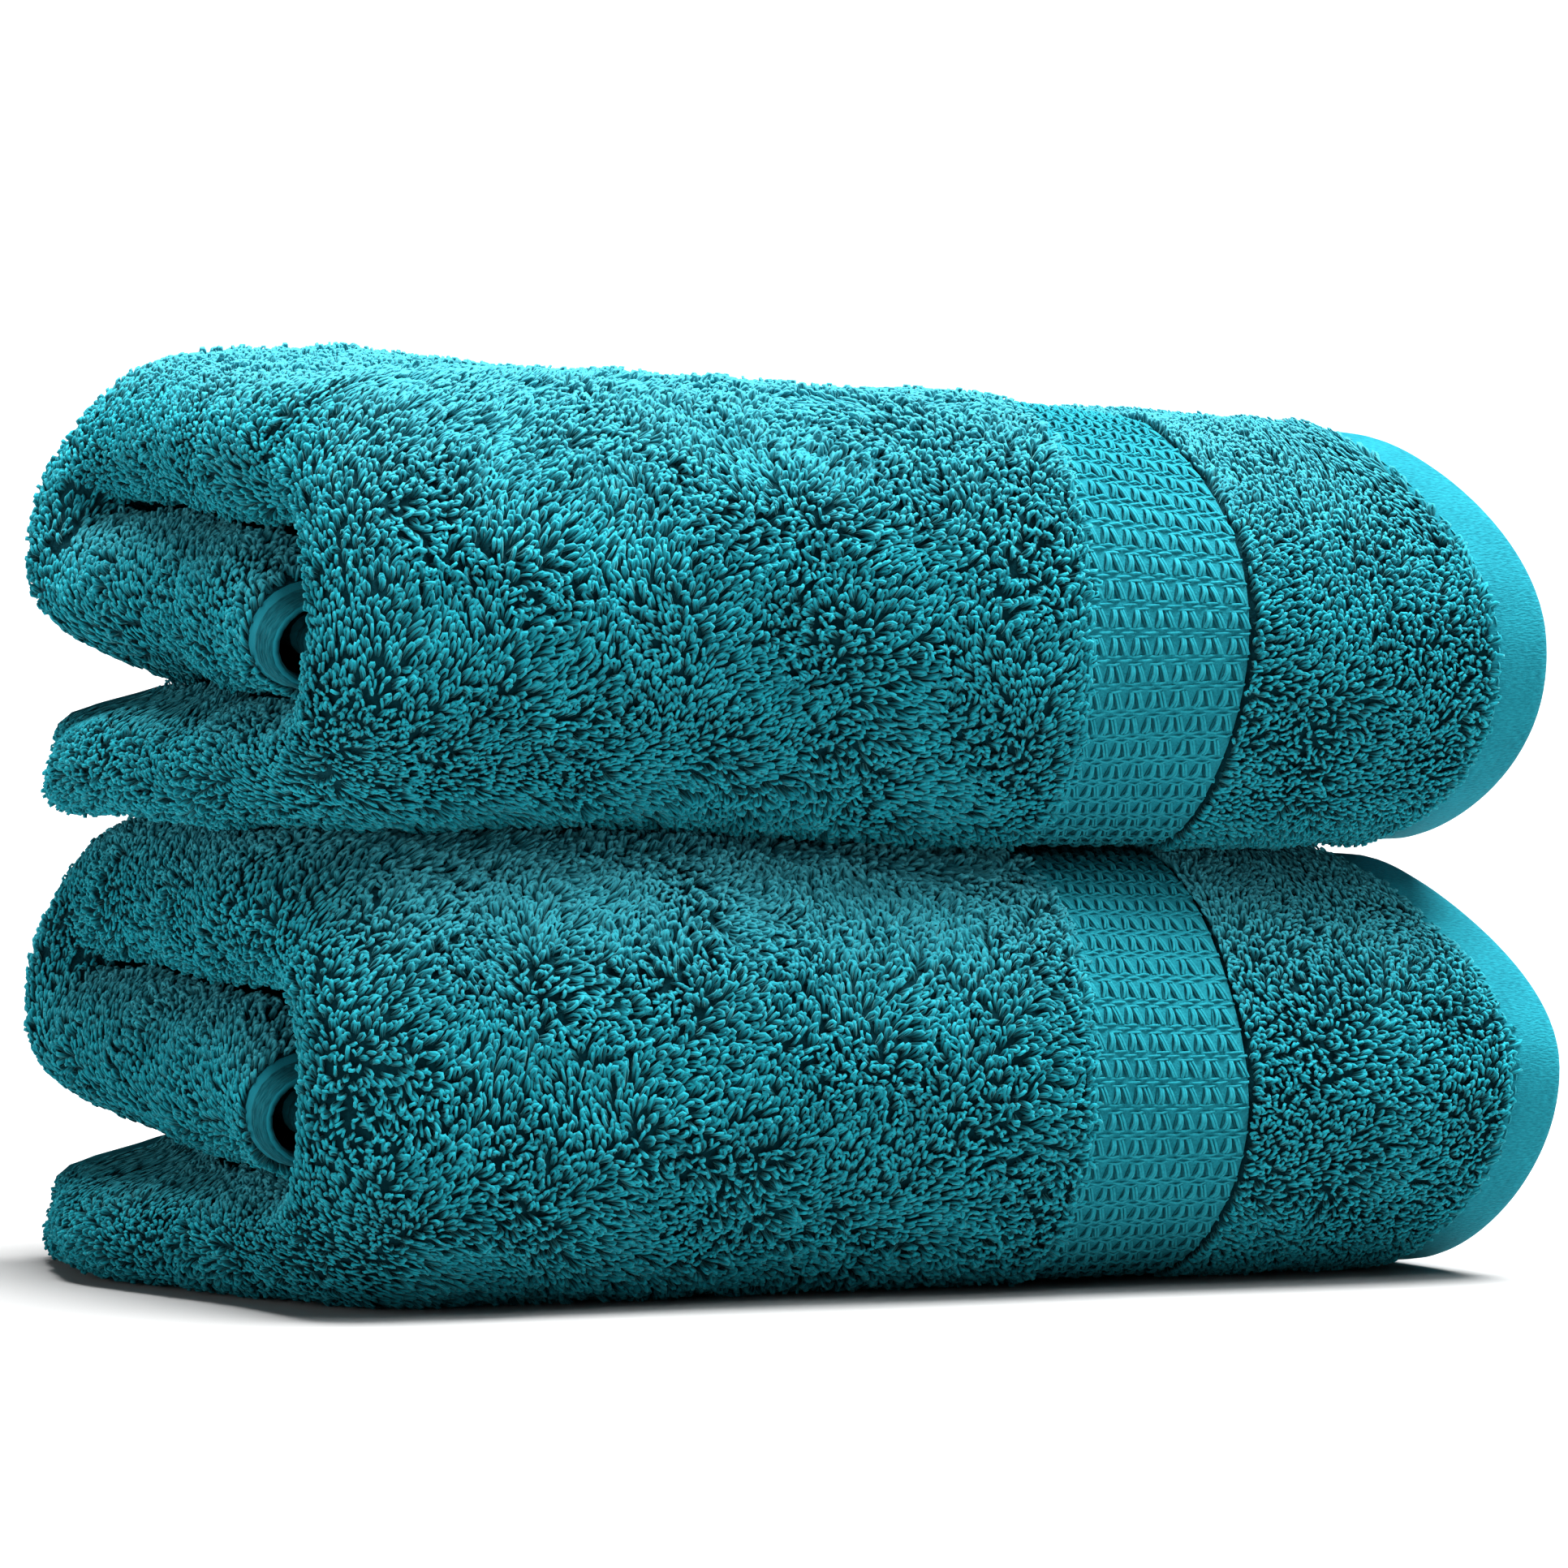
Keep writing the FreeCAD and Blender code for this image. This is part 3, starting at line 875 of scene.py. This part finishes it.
def border_yarns(towel):
    """The raised yarns of the border, and dark strips of painted shadow in its slits."""
    rng = np.random.default_rng(60 + TOWELS.index(towel))
    n = OUTER + BORDER_HALF
    lengths, stations = skin_lengths(n)
    start = np.interp(JOINS[REAR] - BORDER_FROM, stations, lengths)
    end = np.interp(S_END - SIDE_HEM, stations, lengths)
    rows = int((end - start) / ROW_PITCH)
    columns = int((X_BORDER_END - GROOVE - X_BORDER_START) / COLUMN_PITCH)
    margin = X_BORDER_END - GROOVE - columns * COLUMN_PITCH + CELL_SHIFT
    strands, slits, floats = [], [], []
    t = np.linspace(0, 1, 5)
    arch = np.sin(math.pi * t)
    for row in range(rows):
        low = start + (row + 1) * ROW_PITCH
        shift = ROW_SWAY * math.sin(row * ROW_SWAY_TURN) + CELL_SHIFT * rng.normal()
        for column in range(columns):
            x_cell = margin + column * COLUMN_PITCH + shift
            along = low - TOOTH_INSET - TOOTH * t
            for strand in range(2):
                foot = x_cell + TOOTH_FOOT[0] + strand * TOOTH_FOOT[1]
                head = x_cell + TOOTH_HEAD[0] + strand * TOOTH_HEAD[1]
                x = foot + (head - foot) * t ** TOOTH_BEND
                strands.append((x, n + TOOTH_LOW + TOOTH_HIGH * arch, along))
                foot = x_cell + SLANT_FOOT[0] + strand * SLANT_FOOT[1]
                head = x_cell + SLANT_HEAD[0] + strand * SLANT_HEAD[1]
                x = foot + (head - foot) * t ** SLANT_BEND + rng.normal() * SLANT_LOOSE
                strands.append((x, n + SLANT_HIGH * arch, along))
            # a dark strip of painted shadow in the slit on either side of the tooth
            bend = rng.normal(size=2) * SLIT_LOOSE
            foot, reach, power = RIGHT_SLIT
            x = x_cell + foot + bend[0] + reach * t ** power
            slits.append((x, n + RIGHT_SLIT_LOW + RIGHT_SLIT_HIGH * arch, along, RIGHT_SLIT_WIDE))
            foot, reach, power = LEFT_SLIT
            x = x_cell + foot + bend[1] + reach * t ** power
            slits.append((x, n + LEFT_SLIT_HIGH * arch, along, LEFT_SLIT_WIDE))
            for line in range(DASH_LINES):
                offset = 0.5 * (line % 2) + DASH_LOOSE * rng.normal()
                x = x_cell + COLUMN_PITCH * offset + DASH_ALONG
                floats.append((x, n + DASH_RISE, low - DASH_TOP - line * DASH_PITCH + DASH_SLANT))
        for line in range(SIDE_FLOATS):
            end_x = margin + SIDE_FLOAT_LOOSE * rng.uniform()
            x = np.linspace(X_BORDER_START - BORDER_OVER, end_x, 3)
            floats.append((x, n + SIDE_FLOAT_RISE, low - line * SIDE_FLOAT_PITCH + SIDE_FLOAT_SLANT))
    points, quads, maps, zones, count = [], [], [], [], 0
    slit_radii = np.array([slit[3] for slit in slits])
    slits = [slit[:3] for slit in slits]
    groups = ((strands, STRAND, 0), (floats, DASH, 0), (slits, slit_radii, 1))
    for place_on_map, (lines, thick, zone) in enumerate(groups):
        x, n_line, along = np.moveaxis(np.array(lines), 1, 0)
        x = np.clip(x, X_BORDER_START - BORDER_OVER, X_BORDER_END - GROOVE)
        radius = thick * rng.uniform(0.9, 1.1, (len(x), 1)) * np.ones(x.shape)
        line_points = place(x, n_line, np.interp(along, lengths, stations))[0]
        new_points, new_quads = tubes(line_points, radius, 4)
        points.append(new_points)
        quads.append(new_quads + count)
        zones.append(np.full(len(new_quads), zone))
        maps.append((tube_map(len(x), x.shape[1], 4) + np.array([place_on_map, 0])) / np.array([3, 1]))
        count += len(new_points)
    return mesh_piece(
        f"{towel}_border_yarns", settle(np.concatenate(points), towel), np.concatenate(quads),
        [yarn_finish, slit_shadow_finish], np.concatenate(zones), np.concatenate(maps),
    )


# -------------------------------------------------------------------- hems
SIDE_HEM_THICK = 0.0031
REAR_HEM_THICK = 0.0060  # before the layers close up
SIDE_HEM_RIBS = 5
HEM_FULL = 0.10  # a hem's faces are fuller in the middle, by this share
RIB = 0.16  # and its ribs rise and sink by this share
END_HEM_UNDER = 0.001  # the end hem goes this far under the strip's loops
END_HEM_INSET = 0.0002  # and stops short of the side hems' edges
SIDE_HEM_UNDER = 0.0005  # the side hems go this far under the end hem
STITCH_PITCH = 0.0030
STITCH_LENGTH = 0.0022
STITCH = 0.00030
ON_HEM = 1.06  # stitches lie on the hem's full face
END_STITCH_IN = 0.0022  # a line of stitches stands this far from the end hem's edge
SIDE_STITCH_IN = 0.0028  # and this far from a side hem's


def rounded_band(wide, thick, corner_points=4, ribs=0):
    """The outline of a flat band with round edges, about its middle. Its faces
    are a little full, or ribbed."""
    r = thick / 2
    turn_right = np.linspace(-QUARTER, QUARTER, corner_points + 2)
    right = np.stack([wide / 2 - r + r * np.cos(turn_right), r * np.sin(turn_right)], -1)
    left = -right
    steps = np.linspace(1, -1, 9 + 4 * ribs)[1:-1]
    crown = 1 + HEM_FULL * (1 - steps ** 2)
    if ribs:
        crown += RIB * np.cos(math.pi * ribs * (1 + steps))
    top = np.stack([steps * (wide / 2 - r), r * crown], -1)
    return np.concatenate([right, top, left, -top])


def band_mesh(name, rings, towel, finish):
    """A closed band from rings of points, with its ends filled."""
    count, around, _ = rings.shape
    at = np.arange(count - 1)[:, None] * around + np.arange(around)[None, :]
    after = np.arange(count - 1)[:, None] * around + (np.arange(around)[None, :] + 1) % around
    quads = np.stack([at, after, after + around, at + around], -1).reshape(-1, 4)
    half = around // 2
    ends = []
    for first, flip in ((0, False), ((count - 1) * around, True)):
        for k in range(half - 1):
            face = [first + k, first + k + 1, first + around - 2 - k, first + around - 1 - k]
            ends.append(face if flip else face[::-1])
    quads = np.concatenate([quads, np.array(ends)])
    lengths = np.linalg.norm(np.diff(rings.mean(1), axis=0), axis=-1)
    along = np.concatenate([[0], np.cumsum(lengths)])
    girth = np.linalg.norm(np.diff(rings[0], axis=0, append=rings[0][:1]), axis=-1)
    across = np.concatenate([[0], np.cumsum(girth)])
    ring = np.concatenate([np.repeat(np.arange(count - 1), around)] * 4).reshape(4, -1).T
    ring = ring + np.array([0, 0, 1, 1])
    side = np.tile(np.arange(around), count - 1)[:, None] + np.array([0, 1, 1, 0])
    metres = np.stack([along[ring], across[side]], -1).reshape(-1, 2)
    spare = np.zeros((len(ends) * 4, 2))
    metres = np.concatenate([metres, spare])
    corner_map = metres / np.array([along[-1], across[-1] * 1.05])
    piece = mesh_piece(name, settle(rings.reshape(-1, 3), towel), quads, [finish], None, corner_map)
    weave = piece.data.uv_layers.new(name="Weave")
    weave.data.foreach_set("uv", metres.astype(np.float32).ravel())
    piece.data.uv_layers["OFBake"].active = True
    return piece


def end_hem(towel, name, n):
    """The folded hem across the cloth's end, all along the letter fold."""
    outline = rounded_band(right_x - X_HEM + END_HEM_UNDER, 2 * HEM_HALF)
    s = np.linspace(END_HEM_INSET, S_END - END_HEM_INSET, 190)
    s = np.unique(np.concatenate([s, across_stations(0.004, 0.0025)]))
    middle = (right_x + X_HEM - END_HEM_UNDER) / 2
    rings = place(middle + outline[None, :, 0], n + outline[None, :, 1], s[:, None])[0]
    return band_mesh(f"{towel}_{name}", rings, towel, hem_finish)


def side_hem(towel, name, start_s, thick):
    """The narrow hem along the cloth's side, through all four layers."""
    outline = rounded_band(SIDE_HEM, thick, 3, SIDE_HEM_RIBS)
    x, n, look = cloth_lengthwise(X_HEM + SIDE_HEM_UNDER).T
    s = start_s + SIDE_HEM / 2 + outline[:, 0]
    high = outline[:, 1]
    rings_x = x[:, None] + high[None, :] * np.cos(look)[:, None]
    rings_n = n[:, None] + high[None, :] * np.sin(look)[:, None]
    rings = place(rings_x, rings_n, np.broadcast_to(s, rings_x.shape))[0]
    # the side hems take the darker, painted shade copy of the hem weave
    return band_mesh(f"{towel}_{name}", rings, towel, shaded_selvedge_finish)


def stitching(towel):
    """Short lockstitches that hold the hems down."""
    t = np.array([0.0, 0.25, 0.5, 0.75, 1.0])
    high = np.array([-1.0, 0.5, 0.9, 0.5, -1.0]) * STITCH
    lines = []
    s_start = np.arange(SIDE_HEM + 0.001, S_END - SIDE_HEM, STITCH_PITCH)
    s = s_start[:, None] + STITCH_LENGTH * t[None, :]
    x_line = np.full_like(s, X_HEM + END_STITCH_IN)
    for n, side in ((OUTER, 1), (SECOND, -1)):
        lines.append(place(x_line, n + side * (HEM_HALF * ON_HEM + high[None, :]), s)[0])
    run = np.arange(X_LEFT, X_HEM - 0.001, STITCH_PITCH)
    x = run[:, None] + STITCH_LENGTH * t[None, :]
    for s_line, thick in (
        (SIDE_HEM - SIDE_STITCH_IN, SIDE_HEM_THICK),
        (S_END - SIDE_HEM + SIDE_STITCH_IN, REAR_HEM_THICK),
    ):
        for n, side in ((OUTER, 1), (FOURTH, -1)):
            n_line = n + side * (thick / 2 * ON_HEM + high[None, :])
            lines.append(place(x, n_line, np.full_like(x, s_line))[0])
    lines = np.concatenate(lines)
    radius = STITCH * np.array([0.5, 1.0, 1.1, 1.0, 0.5])[None, :] * np.ones(lines.shape[:2])
    points, quads = tubes(lines, radius, 4, capped=True)
    return mesh_piece(f"{towel}_hem_stitches", settle(points, towel), quads, [thread_finish])


# ------------------------------------------------------- both towels, built
for towel in TOWELS:
    body = f"{towel}_towel"
    cloth = cloth_sheet(towel)
    loops = all_loops(towel)
    border = border_yarns(towel)
    hems = [
        end_hem(towel, "hem_band", OUTER),
        end_hem(towel, "second_hem_band", SECOND),
        side_hem(towel, "inner_side_band", 0.0, SIDE_HEM_THICK),
        side_hem(towel, "outer_side_band", S_END - SIDE_HEM, REAR_HEM_THICK),
    ]
    stitches = stitching(towel)
    for piece in [cloth, *loops, border, *hems, stitches]:
        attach(piece, body)
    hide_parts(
        *[f"{towel}_{node}" for node in (
            "pile_field", "end_strip", "second_pile_field", "second_end_strip", "third_layer",
            "fourth_layer", "outer_left_fold", "inner_left_fold", "right_fold",
        )],
    )
    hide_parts(f"{towel}_border", f"{towel}_second_border")
    for piece, node in zip(hems, ("end_hem", "second_end_hem", "inner_side_hem", "outer_side_hem")):
        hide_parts(f"{towel}_{node}")
    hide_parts(f"{towel}_hem_stitching")


# ------------------------------------------------------------ floor and light
def pale_floor():
    """A wide pale floor, under everything."""
    reach = 60.0
    x, y = np.meshgrid([-reach, reach], [-reach, reach], indexing="ij")
    points = np.stack([x, y, np.full_like(x, floor_z)], -1).reshape(-1, 3)
    finish = Finish("pale_floor")
    finish.shader.inputs["Base Color"].default_value = (0.42, 0.42, 0.42, 1)
    finish.shader.inputs["Roughness"].default_value = 0.9
    finish.shader.inputs["Specular IOR Level"].default_value = 0.0
    return mesh_piece("floor", points, grid_quads(2, 2, 0, True), [finish.material])


def soft_light(name, shines_from, strength, spread):
    """A wide distant studio light."""
    lamp = bpy.data.lights.new(name, "SUN")
    lamp.energy = strength
    lamp.angle = math.radians(spread)
    holder = bpy.data.objects.new(name, lamp)
    holder.rotation_euler = (-Vector(shines_from)).to_track_quat("-Z", "Y").to_euler()
    bpy.context.scene.collection.objects.link(holder)


pale_floor()

# The camera looks a little from the left and from just above
TURN = math.radians(-24.1)
TILT = math.radians(2.37)
DISTANCE = 2.954
FRAME_WIDTH = 0.4297  # what the frame takes in, sideways, at the towels
SENSOR = 36
AIM = Vector((0, 0, HEIGHT))
back = Vector((math.sin(TURN) * math.cos(TILT), -math.cos(TURN) * math.cos(TILT), math.sin(TILT)))
camera_data = bpy.data.cameras.new("camera")
camera_data.sensor_width = SENSOR
camera_data.lens = SENSOR * DISTANCE / FRAME_WIDTH
camera_data.shift_x = 0.0118
camera_data.shift_y = 0.0197
camera_data.clip_end = 50
camera = bpy.data.objects.new("camera", camera_data)
camera.location = AIM + back * DISTANCE
camera.rotation_euler = (-back).to_track_quat("-Z", "Y").to_euler()
bpy.context.scene.collection.objects.link(camera)
bpy.context.scene.camera = camera

soft_light("overhead", (0.20, -0.08, 1.0), 10.9, 46)
soft_light("brow", (0.1, -0.55, 0.83), 1.45, 34)
soft_light("left_fill", (-1.0, -0.3, 0.15), 0.82, 60)
world = bpy.data.worlds.new("studio")
studio = Shading(world)
sky = studio.node("ShaderNodeBackground", {}, {"Color": (0.95, 0.98, 1.0, 1), "Strength": 0.05})
white = studio.node("ShaderNodeBackground", {}, {"Color": (1, 1, 1, 1), "Strength": 1.2})
seen_directly = studio.node("ShaderNodeLightPath", output="Is Camera Ray")
backdrop = studio.node("ShaderNodeMixShader", {}, {0: seen_directly, 1: sky, 2: white})
studio.feed(studio.tree.nodes["World Output"].inputs["Surface"], backdrop)
bpy.context.scene.world = world
bpy.context.scene.view_settings.view_transform = "Standard"
